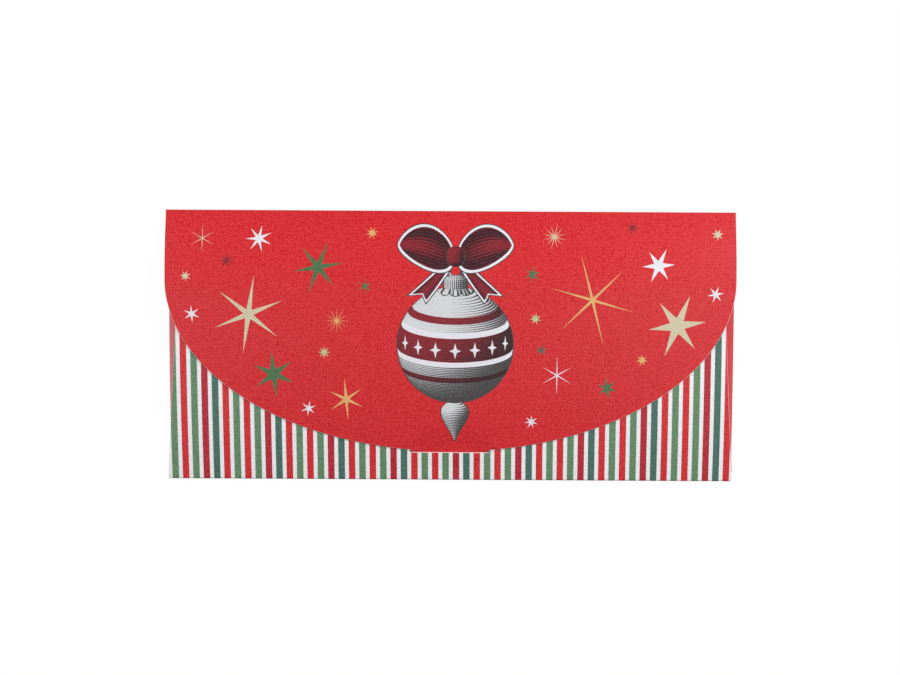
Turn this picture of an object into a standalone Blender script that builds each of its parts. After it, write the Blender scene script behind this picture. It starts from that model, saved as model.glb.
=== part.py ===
"""A folded card for giving banknotes: a flat pocket closed by a round flap with a tuck-in tongue.

The card lies on its back. +X runs along the folds, +Y from the bottom fold to the top crease and
+Z out of the striped front. The origin is on the back's rear face, midway between the folds.
Distances called "up" are measured along Y from the bottom fold's outer edge.
"""

import math

import bmesh
import bpy
from mathutils import Vector

MM = 0.001

# Card stock and folds
CARD_THICKNESS = 0.4 * MM
FOLD_RADIUS = 0.65 * MM
LAYER_GAP = 0.1 * MM

# Whole card
CARD_HEIGHT = 86.4 * MM
BODY_WIDTH = 181.2 * MM

# Pocket front, which bows away from the back
MOUTH_UP = 60.0 * MM
MOUTH_HEIGHT = 6.6 * MM
FRONT_BOW = 1.1 * MM
FRONT_INSET = 0.3 * MM
FRONT_TAPER = 3.3 * MM

# Slit in the pocket front
SLIT_UP = 9.1 * MM
SLIT_GAP = 1.5 * MM
SLIT_END_CLEARANCE = 0.5 * MM

# Glue tabs that fold in from the back's sides
TAB_START_UP = 3.0 * MM
TAB_END_UP = 57.0 * MM
TAB_WIDTH = 11.0 * MM
TAB_CHAMFER = 5.0 * MM
TAB_SHOW = 0.3 * MM
GLUE_THICKNESS = 0.1 * MM
GLUE_WIDTH = 6.0 * MM
GLUE_INSET = 2.5 * MM
GLUE_END_MARGIN = 4.0 * MM

# Flap
FLAP_OVERHANG = 0.7 * MM
FLAP_TAPER = 0.6 * MM
FLAP_SHOULDER_DOWN = 21.5 * MM
FLAP_ABOVE_SLIT = 0.4 * MM
FLAP_GAP = 0.2 * MM
FLAP_CREST_PAST_MOUTH = 1.0 * MM

# Closing tongue
TONGUE_WIDTH = 25.0 * MM
TONGUE_TIP_WIDTH = 20.0 * MM
TONGUE_TIP_UP = 3.2 * MM
TONGUE_CORNER = 2.5 * MM
TONGUE_ROOT = 0.5 * MM

# Mesh fineness
FOLD_STEPS = 8
FRONT_STEPS = 10
FLAP_RISE_STEPS = 8
ARC_STEPS = 64
CORNER_STEPS = 6

# Derived places
Y_BOTTOM = -CARD_HEIGHT / 2
Y_TOP = CARD_HEIGHT / 2
BOTTOM_FOLD_Y = Y_BOTTOM + FOLD_RADIUS
TOP_CREASE_Y = Y_TOP - FOLD_RADIUS
FRONT_START_Y = BOTTOM_FOLD_Y + LAYER_GAP
MOUTH_Y = Y_BOTTOM + MOUTH_UP
SLIT_LOW_Y = Y_BOTTOM + SLIT_UP
SLIT_HIGH_Y = SLIT_LOW_Y + SLIT_GAP
TAB_DROP = 2 * LAYER_GAP + GLUE_THICKNESS
CREST_Y = MOUTH_Y + FLAP_CREST_PAST_MOUTH
FLAP_START_Y = TOP_CREASE_Y - LAYER_GAP
FLAP_LOW_Y = SLIT_LOW_Y + FLAP_ABOVE_SLIT
BODY_HALF_WIDTH = BODY_WIDTH / 2
BESIDE_TABS_HALF_WIDTH = BODY_HALF_WIDTH - FOLD_RADIUS - LAYER_GAP
FRONT_BOTTOM_HALF_WIDTH = BODY_HALF_WIDTH - FRONT_INSET
FRONT_MOUTH_HALF_WIDTH = FRONT_BOTTOM_HALF_WIDTH - FRONT_TAPER
CREASE_HALF_WIDTH = BODY_HALF_WIDTH + FLAP_OVERHANG
SHOULDER_HALF_WIDTH = CREASE_HALF_WIDTH - FLAP_TAPER
CUTTER_REACH = 2 * MOUTH_HEIGHT

RED = (0.68, 0.035, 0.045)
STRIPED = (0.45, 0.30, 0.26)
GLUE = (0.85, 0.83, 0.74)


def clear_scene():
    for obj in list(bpy.data.objects):
        bpy.data.objects.remove(obj, do_unlink=True)


def new_collection(name):
    collection = bpy.data.collections.new(name)
    bpy.context.scene.collection.children.link(collection)
    return collection


def paint(obj, colour, roughness):
    material = bpy.data.materials.new(obj.name)
    material.use_nodes = True
    shader = material.node_tree.nodes["Principled BSDF"]
    shader.inputs["Base Color"].default_value = (*colour, 1)
    shader.inputs["Roughness"].default_value = roughness
    shader.inputs["Metallic"].default_value = 0
    obj.data.materials.append(material)


def add_object(name, bm, collection):
    mesh = bpy.data.meshes.new(name)
    bm.to_mesh(mesh)
    bm.free()
    obj = bpy.data.objects.new(name, mesh)
    collection.objects.link(obj)
    return obj


def thicken(obj, thickness):
    """Gives an open sheet its thickness, on the side away from its normals."""
    solidify = obj.modifiers.new("thickness", "SOLIDIFY")
    solidify.thickness = thickness
    solidify.offset = -1
    solidify.use_even_offset = True


def blend_between(low, high, share):
    return low + (high - low) * share


def front_height(y):
    """Height of the pocket front's outer face: a rise from the fold with a parabolic bow."""
    low = 2 * FOLD_RADIUS
    share = (y - BOTTOM_FOLD_Y) / (MOUTH_Y - BOTTOM_FOLD_Y)
    return blend_between(low, MOUTH_HEIGHT, share) + 4 * FRONT_BOW * share * (1 - share)


def front_half_width(y):
    share = (y - BOTTOM_FOLD_Y) / (MOUTH_Y - BOTTOM_FOLD_Y)
    return blend_between(FRONT_BOTTOM_HALF_WIDTH, FRONT_MOUTH_HALF_WIDTH, share)


def tab_height(y):
    """Height of a glue tab's outer face, below the pocket front and the glue."""
    return front_height(y) - CARD_THICKNESS - TAB_DROP


def glue_height(y):
    return front_height(y) - CARD_THICKNESS - LAYER_GAP


def flap_height(y):
    """Height of the flap's outer face: over the pocket front, then down to the top crease."""
    over_front = CARD_THICKNESS + FLAP_GAP
    if y <= MOUTH_Y:
        return front_height(y) + over_front
    crest = MOUTH_HEIGHT + over_front
    if y <= CREST_Y:
        return crest
    share = (y - CREST_Y) / (TOP_CREASE_Y - CREST_Y)
    return blend_between(crest, 2 * FOLD_RADIUS, share**2)


def flap_side_half_width(y):
    down = Y_TOP - y
    share = min(down / FLAP_SHOULDER_DOWN, 1)
    return blend_between(CREASE_HALF_WIDTH, SHOULDER_HALF_WIDTH, share)


def stations(low, high, steps):
    return [blend_between(low, high, i / steps) for i in range(steps + 1)]


def on_chords(height, places):
    """The height function made straight between the places, so that each strip is flat."""

    def straight(y):
        low = max([p for p in places if p <= y], default=places[0])
        high = min([p for p in places if p > low], default=places[-1])
        if high <= low:
            return height(low)
        return blend_between(height(low), height(high), (y - low) / (high - low))

    return straight


def arc(centre, radius, start, end, steps):
    """Points (a, b) along a circle's arc, from one angle to another in degrees."""
    angles = [math.radians(blend_between(start, end, i / steps)) for i in range(steps + 1)]
    return [(centre[0] + radius * math.cos(a), centre[1] + radius * math.sin(a)) for a in angles]


def bowed_blank(name, outline, height, places, collection):
    """A flat die-cut outline, split across at the places, then lifted to a height along Y."""
    bm = bmesh.new()
    bm.faces.new([bm.verts.new((x, y, 0)) for x, y in outline])
    for y in places[1:-1]:
        everything = bm.verts[:] + bm.edges[:] + bm.faces[:]
        bmesh.ops.bisect_plane(bm, geom=everything, plane_co=(0, y, 0), plane_no=(0, 1, 0))
    lift = on_chords(height, places)
    for vert in bm.verts:
        vert.co.z = lift(vert.co.y)
    obj = add_object(name, bm, collection)
    thicken(obj, CARD_THICKNESS)
    return obj


def sheet_through(name, lines, collection):
    """An open sheet that joins lines of points of equal number, one after the other."""
    bm = bmesh.new()
    rows = [[bm.verts.new(point) for point in line] for line in lines]
    for low, high in zip(rows, rows[1:]):
        for i in range(len(low) - 1):
            bm.faces.new((low[i], low[i + 1], high[i + 1], high[i]))
    obj = add_object(name, bm, collection)
    thicken(obj, CARD_THICKNESS)
    return obj


def fold_along_x(name, centre_y, start, end, half_width, collection):
    """A half-round fold of card, whose outer face follows an arc round (centre_y, FOLD_RADIUS)."""
    section = arc((centre_y, FOLD_RADIUS), FOLD_RADIUS, start, end, FOLD_STEPS)
    lines = [[(-half_width, y, z), (half_width, y, z)] for y, z in section]
    return sheet_through(name, lines, collection)


def mirrored_outline(right_side):
    """Closes a right-hand outline, given from bottom to top, with its mirror image."""
    return right_side + [(-x, y) for x, y in reversed(right_side)]


def make_back_panel(collection):
    """The back: set in where the side folds leave it, then wider up to the top crease."""
    tab_start = Y_BOTTOM + TAB_START_UP - LAYER_GAP
    tab_end = Y_BOTTOM + TAB_END_UP + LAYER_GAP
    right = [
        (FRONT_BOTTOM_HALF_WIDTH, BOTTOM_FOLD_Y + LAYER_GAP),
        (FRONT_BOTTOM_HALF_WIDTH, tab_start),
        (BESIDE_TABS_HALF_WIDTH, tab_start),
        (BESIDE_TABS_HALF_WIDTH, tab_end),
        (BODY_HALF_WIDTH, tab_end),
        (CREASE_HALF_WIDTH, TOP_CREASE_Y - LAYER_GAP),
    ]
    places = [right[0][1], right[-1][1]]
    back = bowed_blank("back_panel", mirrored_outline(right), lambda y: CARD_THICKNESS, places, collection)
    paint(back, RED, 0.6)


def make_bottom_fold(collection):
    fold = fold_along_x("bottom_fold", BOTTOM_FOLD_Y, 270, 90, FRONT_BOTTOM_HALF_WIDTH, collection)
    paint(fold, STRIPED, 0.6)


def make_top_crease(collection):
    crease = fold_along_x("top_crease", TOP_CREASE_Y, 90, -90, CREASE_HALF_WIDTH, collection)
    paint(crease, RED, 0.6)


def make_slit_cutter(cutters):
    bm = bmesh.new()
    bmesh.ops.create_cube(bm, size=1)
    obj = add_object("slit_cutter", bm, cutters)
    obj.location = (0, (SLIT_LOW_Y + SLIT_HIGH_Y) / 2, 0)
    obj.scale = (TONGUE_WIDTH + 2 * SLIT_END_CLEARANCE, SLIT_GAP, CUTTER_REACH)
    obj.hide_render = True
    obj.display_type = "WIRE"
    return obj


def make_pocket_front(collection, cutters):
    places = stations(FRONT_START_Y, MOUTH_Y, FRONT_STEPS)
    right = [(front_half_width(y), y) for y in (places[0], places[-1])]
    front = bowed_blank("pocket_front", mirrored_outline(right), front_height, places, collection)
    slit = front.modifiers.new("slit", "BOOLEAN")
    slit.operation = "DIFFERENCE"
    slit.solver = "EXACT"
    slit.object = make_slit_cutter(cutters)
    paint(front, STRIPED, 0.6)


def tab_places():
    return stations(Y_BOTTOM + TAB_START_UP, Y_BOTTOM + TAB_END_UP, FRONT_STEPS)


def make_side_fold(name, side, collection):
    """The card between the back and a glue tab: a rounded foot, then a wall that leans in."""
    round_foot = arc((BODY_HALF_WIDTH - FOLD_RADIUS, FOLD_RADIUS), FOLD_RADIUS, -90, 0, FOLD_STEPS // 2)
    lines = [[(side * x, y, z) for y in tab_places()] for x, z in round_foot]
    top = [(side * (front_half_width(y) + TAB_SHOW), y, tab_height(y)) for y in tab_places()]
    lines = lines + [top]
    fold = sheet_through(name, lines if side > 0 else [line[::-1] for line in lines], collection)
    paint(fold, RED, 0.6)


def make_glue_tab(name, side, collection):
    """The tab that lies under the pocket front's edge, from just inside the wall of the side fold."""
    low, high = Y_BOTTOM + TAB_START_UP, Y_BOTTOM + TAB_END_UP
    past_front = TAB_SHOW - CARD_THICKNESS - LAYER_GAP
    outer = [(front_half_width(y) + past_front, y) for y in (low, high)]
    inner = outer[1][0] - TAB_WIDTH
    outline = outer + [(inner, high - TAB_CHAMFER), (inner, low + TAB_CHAMFER)]
    outline = [(side * x, y) for x, y in outline]
    places = tab_places()
    tab = bowed_blank(name, outline if side > 0 else outline[::-1], tab_height, places, collection)
    paint(tab, RED, 0.6)


def make_glue_strip(name, side, collection):
    """The bead of glue between a tab and the pocket front."""
    low = Y_BOTTOM + TAB_START_UP + GLUE_END_MARGIN
    high = Y_BOTTOM + TAB_END_UP - GLUE_END_MARGIN
    outer = front_half_width(high) - GLUE_INSET
    outline = [(outer, low), (outer, high), (outer - GLUE_WIDTH, high), (outer - GLUE_WIDTH, low)]
    outline = [(side * x, y) for x, y in outline]
    places = [low] + [y for y in tab_places() if low < y < high] + [high]
    glue = bowed_blank(name, outline if side > 0 else outline[::-1], glue_height, places, collection)
    glue.modifiers["thickness"].thickness = GLUE_THICKNESS
    paint(glue, GLUE, 0.4)


def flap_right_outline():
    """The flap's right side, bottom to top: the notch for the tongue, the arc, then the straight side."""
    shoulder_y = Y_TOP - FLAP_SHOULDER_DOWN
    depth = shoulder_y - FLAP_LOW_Y
    notch = TONGUE_WIDTH / 2 + LAYER_GAP
    start = math.degrees(math.asin(notch / SHOULDER_HALF_WIDTH))
    turns = [math.radians(blend_between(start, 90, i / ARC_STEPS)) for i in range(ARC_STEPS + 1)]
    curve = [(SHOULDER_HALF_WIDTH * math.sin(a), shoulder_y - depth * math.cos(a)) for a in turns]
    notch_top = (notch, tongue_root_y() + LAYER_GAP)
    return [notch_top] + curve + [(flap_side_half_width(FLAP_START_Y), FLAP_START_Y)]


def flap_places():
    over_front = stations(FLAP_LOW_Y, MOUTH_Y, FRONT_STEPS)
    to_crease = stations(CREST_Y, FLAP_START_Y, FLAP_RISE_STEPS)
    return over_front + to_crease


def make_flap_panel(collection):
    outline = mirrored_outline(flap_right_outline())
    flap = bowed_blank("flap_panel", outline, flap_height, flap_places(), collection)
    paint(flap, RED, 0.6)


def tongue_root_y():
    return SLIT_HIGH_Y + TONGUE_ROOT


def tongue_under_height(y):
    """Height of the tongue's outer face where it lies behind the pocket front."""
    return front_height(y) - CARD_THICKNESS - FLAP_GAP


def tongue_section():
    """The tongue's outer face from tip to root, as (y, height): under the lip, through the slit, over it."""
    tip = Y_BOTTOM + TONGUE_TIP_UP
    inside = SLIT_LOW_Y - LAYER_GAP
    root = tongue_root_y()
    return [
        (tip, tongue_under_height(tip)),
        (inside, tongue_under_height(inside)),
        (SLIT_HIGH_Y, flap_height(SLIT_HIGH_Y)),
        (root, flap_height(root)),
    ]


def make_closing_tongue(collection):
    """A tab below the flap's arc that dives through the slit, with a narrower, rounded tip."""
    section = tongue_section()
    tip_y = section[0][0]
    corner = (TONGUE_TIP_WIDTH / 2 - TONGUE_CORNER, tip_y + TONGUE_CORNER)
    rounded = arc(corner, TONGUE_CORNER, -90, 0, CORNER_STEPS)
    right = rounded + [(TONGUE_WIDTH / 2, section[1][0]), (TONGUE_WIDTH / 2, section[-1][0])]
    heights = dict(section)
    places = [y for y, _ in section]
    tongue = bowed_blank("closing_tongue", mirrored_outline(right), heights.get, places, collection)
    paint(tongue, RED, 0.6)
    return tongue


def hang_on_crease(obj):
    """Moves the object's origin to the flap's turning axis, with its shape left in place."""
    pivot = Vector((0, TOP_CREASE_Y, FOLD_RADIUS))
    for vert in obj.data.vertices:
        vert.co -= pivot
    obj.location = pivot


def main():
    clear_scene()
    parts = new_collection("money_holder_card")
    cutters = new_collection("cutters")
    make_back_panel(parts)
    make_bottom_fold(parts)
    make_top_crease(parts)
    make_pocket_front(parts, cutters)
    for word, side in (("left", -1), ("right", 1)):
        make_side_fold(word + "_side_fold", side, parts)
        make_glue_tab(word + "_glue_tab", side, parts)
        make_glue_strip(word + "_glue_strip", side, parts)
    make_flap_panel(parts)
    make_closing_tongue(parts)
    for name in ("flap_panel", "closing_tongue"):
        hang_on_crease(bpy.data.objects[name])


main()
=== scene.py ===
"""Looks of a folded card for giving banknotes: a striped pocket closed by a round red flap.

All lengths are in metres in the part's own frame: +X along the folds, +Y from the bottom fold to
the top crease, +Z out of the striped front. The sections follow the card as it is folded up.
"""

import math

import bmesh
import bpy
import numpy as np
from mathutils import Matrix, Vector


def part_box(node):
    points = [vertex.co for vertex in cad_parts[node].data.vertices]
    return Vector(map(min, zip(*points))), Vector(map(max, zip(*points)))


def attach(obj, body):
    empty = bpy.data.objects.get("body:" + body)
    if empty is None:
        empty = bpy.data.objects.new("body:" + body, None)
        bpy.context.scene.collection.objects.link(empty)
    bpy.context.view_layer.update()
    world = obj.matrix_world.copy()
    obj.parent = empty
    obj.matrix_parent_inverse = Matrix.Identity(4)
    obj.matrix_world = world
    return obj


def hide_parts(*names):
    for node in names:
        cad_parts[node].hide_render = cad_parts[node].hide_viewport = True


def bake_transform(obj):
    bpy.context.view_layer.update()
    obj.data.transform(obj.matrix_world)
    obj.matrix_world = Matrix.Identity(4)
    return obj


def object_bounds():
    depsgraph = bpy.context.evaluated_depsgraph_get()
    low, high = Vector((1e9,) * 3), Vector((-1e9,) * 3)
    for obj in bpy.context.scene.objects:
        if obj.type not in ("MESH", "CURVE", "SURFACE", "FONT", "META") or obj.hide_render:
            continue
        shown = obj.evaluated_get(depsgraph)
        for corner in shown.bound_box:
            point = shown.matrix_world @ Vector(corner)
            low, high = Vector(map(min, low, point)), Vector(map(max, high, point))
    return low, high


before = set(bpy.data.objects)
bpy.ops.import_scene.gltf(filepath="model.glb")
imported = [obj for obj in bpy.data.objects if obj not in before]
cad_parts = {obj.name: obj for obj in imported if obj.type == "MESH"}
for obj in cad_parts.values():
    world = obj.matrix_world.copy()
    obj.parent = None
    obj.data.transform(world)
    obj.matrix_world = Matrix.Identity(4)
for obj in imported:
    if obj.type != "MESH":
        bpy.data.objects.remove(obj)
solid_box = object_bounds()

# Back panel: the flat red back of one die-cut sheet of 0.4 mm card, printed outside over a linen
# emboss and plain white inside. The bottom fold, the side folds and the top crease start from its
# edges, and it is narrower beside the side folds.
MM = 0.001
low_corner, high_corner = solid_box
back_low, back_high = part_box("back_panel")
side_low, side_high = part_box("right_side_fold")
CARD = back_high.z - back_low.z
FOLD_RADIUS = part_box("bottom_fold")[1].z / 2
BOTTOM_FOLD_Y = low_corner.y + FOLD_RADIUS
TOP_CREASE_Y = high_corner.y - FOLD_RADIUS
FRONT_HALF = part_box("bottom_fold")[1].x
BODY_HALF = side_high.x
CREASE_INSET = 0.14 * MM
CREASE_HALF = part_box("top_crease")[1].x - CREASE_INSET
SIDE_SHIFT = 0.4 * MM
LEFT_LEAN = 0.82 * MM
RIGHT_LEAN = 0.36 * MM
RIGHT_REACH = 0.54 * MM
CUT_BEVEL = 0.1 * MM
PRINT, INSIDE, CUT_EDGE = 0, 1, 2
SLOPE_STEP = 0.01 * MM
WELD_GAP = 0.001 * MM
SHARP_ANGLE = math.radians(32)
THREAD_PITCH = 0.46 * MM
THREAD_LENGTH = 0.75 * MM
THREAD_RISE = 0.02 * MM
TOOTH_SIZE = 0.25 * MM
SWELL_LOW, SWELL_HIGH = 0.3, 0.7
THREAD_TOP = 0.66
MEAN_RELIEF = 0.38
EMBOSS_STRENGTH = 0.6
# Painted shade and highlight of the weave: the ink darkens between the threads and lightens on them.
PIT_SHADE_SPREAD = 0.4
# On the highest threads the ink goes towards bare card: partly ink rubbed thin, partly a painted sheen.
RUB_AND_SHEEN_START = 0.1
INK_RUB_AND_SHEEN = 0.052
RED_INK = (0.645, 0.005, 0.011)
RUBBED_CARD_AND_SHEEN = (0.80, 0.74, 0.74)
WHITE_CARD = (0.78, 0.78, 0.79)
CUT_CORE = (0.80, 0.67, 0.66)
PRINT_ROUGHNESS = 0.38
PRINT_GLOSS = 0.33


def smooth(share):
    """The S-curve 3s^2 - 2s^3 of a share that is first kept between 0 and 1."""
    share = np.clip(share, 0, 1)
    return share * share * (3 - 2 * share)


def spread(low, high, steps):
    """Even values from low to high, in a number of steps."""
    return np.linspace(low, high, steps + 1)


def raised(x, y, height):
    """Points (x, y, height) of a height over the plane, and their unit normals from its slopes."""
    slope_x = (height(x + SLOPE_STEP, y) - height(x - SLOPE_STEP, y)) / (2 * SLOPE_STEP)
    slope_y = (height(x, y + SLOPE_STEP) - height(x, y - SLOPE_STEP)) / (2 * SLOPE_STEP)
    points = np.stack([x, y, height(x, y)], -1)
    normals = np.stack([-slope_x, -slope_y, np.ones_like(slope_x)], -1)
    return points, normals / np.linalg.norm(normals, axis=-1, keepdims=True)


def shell_faces(points, normals, thickness, cut=None, keep=None, wrap=False):
    """A closed shell from a grid of outer points: (vertices, quads, finish of each quad).

    The inner face lies under the outer one by the thickness along the normals, and a wall closes
    each edge that only one cell has. Points marked as cut sink by the bevel, so the cells that
    touch them slope and show the card's core. A wrapped grid joins its last column to its first.
    """
    rows, columns = points.shape[:2]
    cut = np.zeros((rows, columns), bool) if cut is None else cut
    keep = np.ones((rows - 1, columns - 1), bool) if keep is None else keep
    outer = points - normals * (CUT_BEVEL * cut)[..., None]
    inner = points - normals * thickness
    index = np.arange(rows * columns).reshape(rows, columns)
    if wrap:
        index[:, -1] = index[:, 0]
    cells = np.stack([index[:-1, :-1], index[:-1, 1:], index[1:, 1:], index[1:, :-1]], -1)[keep]
    starts, ends = cells.ravel(), np.roll(cells, -1, axis=1).ravel()
    count = rows * columns
    alone = ~np.isin(starts * count + ends, ends * count + starts)
    starts, ends = starts[alone], ends[alone]
    walls = np.stack([ends, starts, starts + count, ends + count], -1)
    sloping = cut.ravel()[cells].any(axis=1)
    finish = np.concatenate([
        np.where(sloping, CUT_EDGE, PRINT), np.full(len(cells), INSIDE), np.full(len(walls), CUT_EDGE)
    ])
    quads = np.concatenate([cells, cells[:, ::-1] + count, walls])
    return np.concatenate([outer.reshape(-1, 3), inner.reshape(-1, 3)]), quads, finish


def make_piece(name, shells, materials, body, marks=None):
    """One object from one or more shells, with its poles welded, its flats smooth and its edges sharp.

    The marks are values for each grid point by name, which the materials read as attributes.
    """
    counts = np.cumsum([0] + [len(vertices) for vertices, _, _ in shells])
    vertices = np.concatenate([part[0] for part in shells])
    quads = np.concatenate([part[1] + first for part, first in zip(shells, counts)])
    used, quads = np.unique(quads, return_inverse=True)
    mesh = bpy.data.meshes.new(name)
    mesh.from_pydata(vertices[used], [], quads.reshape(-1, 4))
    mesh.polygons.foreach_set("material_index", np.concatenate([part[2] for part in shells]))
    for material in materials:
        mesh.materials.append(material)
    for mark, values in (marks or {}).items():
        layer = mesh.attributes.new(mark, "FLOAT", "POINT")
        layer.data.foreach_set("value", values[used].astype(np.float32))
    weld_poles(mesh)
    mesh.shade_smooth()
    mesh.set_sharp_from_angle(angle=SHARP_ANGLE)
    piece = bpy.data.objects.new(name, mesh)
    bpy.context.scene.collection.objects.link(piece)
    if body:
        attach(piece, body)
    return piece


def weld_poles(mesh):
    """Joins grid points that lie on one spot, such as the middle of a star."""
    grid = bmesh.new()
    grid.from_mesh(mesh)
    bmesh.ops.remove_doubles(grid, verts=grid.verts, dist=WELD_GAP)
    grid.to_mesh(mesh)
    grid.free()


def new_tree(name):
    material = bpy.data.materials.new(name)
    material.use_nodes = True
    return material, material.node_tree


def add_node(tree, kind, inputs, **settings):
    """A shader node with its settings, and each input linked to a socket or set to a value."""
    node = tree.nodes.new(kind)
    for setting, value in settings.items():
        setattr(node, setting, value)
    for socket, value in inputs.items():
        if isinstance(value, bpy.types.NodeSocket):
            tree.links.new(value, node.inputs[socket])
        else:
            node.inputs[socket].default_value = value
    return node


def calculate(tree, operation, *values):
    return add_node(tree, "ShaderNodeMath", dict(enumerate(values)), operation=operation).outputs[0]


def between(tree, share, low, high):
    """A mix of two colours, each a tuple or a socket."""
    full = [value if isinstance(value, bpy.types.NodeSocket) else (*value, 1) for value in (low, high)]
    inputs = {0: share, 6: full[0], 7: full[1]}
    return add_node(tree, "ShaderNodeMix", inputs, data_type="RGBA").outputs[2]


def object_place(tree):
    return tree.nodes.new("ShaderNodeTexCoord").outputs["Object"]


def linen(tree, place):
    """Height of the linen emboss, 0 to 1: the higher of the threads along X and those along Y.

    A thread is a sine across its pitch, times a noise drawn out along its length.
    """
    axes = add_node(tree, "ShaderNodeSeparateXYZ", {0: place}).outputs
    threads = []
    for along, across in ((0, 1), (1, 0)):
        scale = [1 / THREAD_PITCH] * 3
        scale[along] = 1 / THREAD_LENGTH
        drawn = add_node(tree, "ShaderNodeMapping", {"Vector": place, "Scale": scale})
        noise = {"Vector": drawn.outputs[0], "Scale": 1, "Detail": 1}
        noise = add_node(tree, "ShaderNodeTexNoise", noise).outputs[0]
        swell = {"Value": noise, "From Min": SWELL_LOW, "From Max": SWELL_HIGH}
        swell = add_node(tree, "ShaderNodeMapRange", swell).outputs[0]
        turn = calculate(tree, "MULTIPLY", axes[across], 2 * math.pi / THREAD_PITCH)
        wave = calculate(tree, "MULTIPLY_ADD", calculate(tree, "SINE", turn), 0.5, 0.5)
        threads.append(calculate(tree, "MULTIPLY", wave, swell))
    return calculate(tree, "MAXIMUM", *threads)


def linen_print(name, ink, strength=1.0, roughness=PRINT_ROUGHNESS, gloss=PRINT_GLOSS, tilt=0.0):
    """Ink on linen-embossed card, with paper tooth over all. Painted shade makes it darker between
    the threads and a painted highlight makes it lighter on them, where the ink is also rubbed thin
    with a painted sheen. The strength scales this painted shade, highlight and sheen. The rollers
    press the highest threads flat.

    The ink is a colour, or a function that makes a colour socket from the tree and the place. The
    gloss is the shader's specular level, and the tilt turns the weave about Y, for card that stands
    up.
    """
    material, tree = new_tree(name)
    turned = {"Vector": object_place(tree), "Rotation": (0, tilt, 0)}
    place = add_node(tree, "ShaderNodeMapping", turned).outputs[0]
    threads = linen(tree, place)
    tooth = add_node(tree, "ShaderNodeTexNoise", {"Vector": place, "Scale": 1 / TOOTH_SIZE, "Detail": 2})
    relief = calculate(tree, "ADD", threads, calculate(tree, "SUBTRACT", tooth.outputs[0], 0.5))
    relief = calculate(tree, "MINIMUM", relief, THREAD_TOP)
    colour = ink(tree, place) if callable(ink) else ink
    # Painted shade and highlight: the ink is scaled darker in the weave's hollows and lighter on its
    # tops.
    level = calculate(tree, "SUBTRACT", relief, MEAN_RELIEF)
    shade = calculate(tree, "ADD", calculate(tree, "MULTIPLY", level, PIT_SHADE_SPREAD * strength), 1.0)
    inked = add_node(tree, "ShaderNodeVectorMath", {0: colour, "Scale": shade}, operation="SCALE")
    # Lighter on the thread tops: partly ink worn to bare card, partly a painted sheen.
    rub_and_sheen = add_node(tree, "ShaderNodeMapRange", {
        "Value": relief, "From Min": RUB_AND_SHEEN_START, "From Max": THREAD_TOP,
        "To Min": 0.0, "To Max": INK_RUB_AND_SHEEN * strength,
    })
    shaded = between(tree, rub_and_sheen.outputs[0], inked.outputs[0], RUBBED_CARD_AND_SHEEN)
    emboss = {"Height": relief, "Distance": THREAD_RISE, "Strength": EMBOSS_STRENGTH}
    bump = add_node(tree, "ShaderNodeBump", emboss)
    shader = tree.nodes["Principled BSDF"]
    tree.links.new(shaded, shader.inputs["Base Color"])
    tree.links.new(bump.outputs[0], shader.inputs["Normal"])
    shader.inputs["Roughness"].default_value = roughness
    shader.inputs["Specular IOR Level"].default_value = gloss
    return material


def side_edge(y, side):
    """X of the outermost line of a side fold, which leans in from its top down by a parabola."""
    share = np.clip((side_high.y - y) / (side_high.y - side_low.y), 0, 1)
    lean = LEFT_LEAN if side < 0 else RIGHT_LEAN
    return side * (BODY_HALF - lean * share**2) + SIDE_SHIFT


red_print = linen_print("red linen print", RED_INK)
white_inside = linen_print("white card inside", WHITE_CARD, strength=0.15, roughness=0.8)
cut_core = linen_print("cut card core", CUT_CORE, strength=0.3, roughness=0.9)
red_card = [red_print, white_inside, cut_core]

edge_rows = np.array([BOTTOM_FOLD_Y, side_low.y, side_high.y, TOP_CREASE_Y])
back_y = np.concatenate([
    edge_rows[:1], spread(side_low.y, side_high.y, 8), spread(side_high.y, TOP_CREASE_Y, 6)[1:]
])
edges = []
for side in (-1, 1):
    low_end = FRONT_HALF + RIGHT_REACH if side > 0 else -FRONT_HALF
    corners = np.array([low_end, low_end, side_edge(side_high.y, side), side * CREASE_HALF])
    outer = np.interp(back_y, edge_rows, corners)
    flat_end = side_edge(back_y, side) - side * FOLD_RADIUS
    edges.append(np.stack([flat_end, outer - side * CUT_BEVEL, outer], 1))
left, right = edges
inner_x = left[:, :1] + (right[:, :1] - left[:, :1]) * spread(0, 1, 24)
back_x = np.concatenate([right[:, :0:-1], inner_x[:, ::-1], left[:, 1:]], axis=1)
back_y = np.broadcast_to(back_y[:, None], back_x.shape)
points = np.stack([back_x, back_y, np.zeros_like(back_x)], -1)
normals = np.zeros_like(points)
normals[..., 2] = -1
cut = np.zeros(back_x.shape, bool)
cut[:, [0, -1]] = True
keep = np.ones((back_x.shape[0] - 1, back_x.shape[1] - 1), bool)
beside = (back_y[:-1, 0] >= side_low.y) & (back_y[:-1, 0] < side_high.y)
keep[np.ix_(beside, [0, 1, -2, -1])] = False
shell = shell_faces(points, normals, CARD, cut, keep)
back = make_piece("back_panel_card", [shell], red_card, "wallet")
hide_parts("back_panel")

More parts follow.
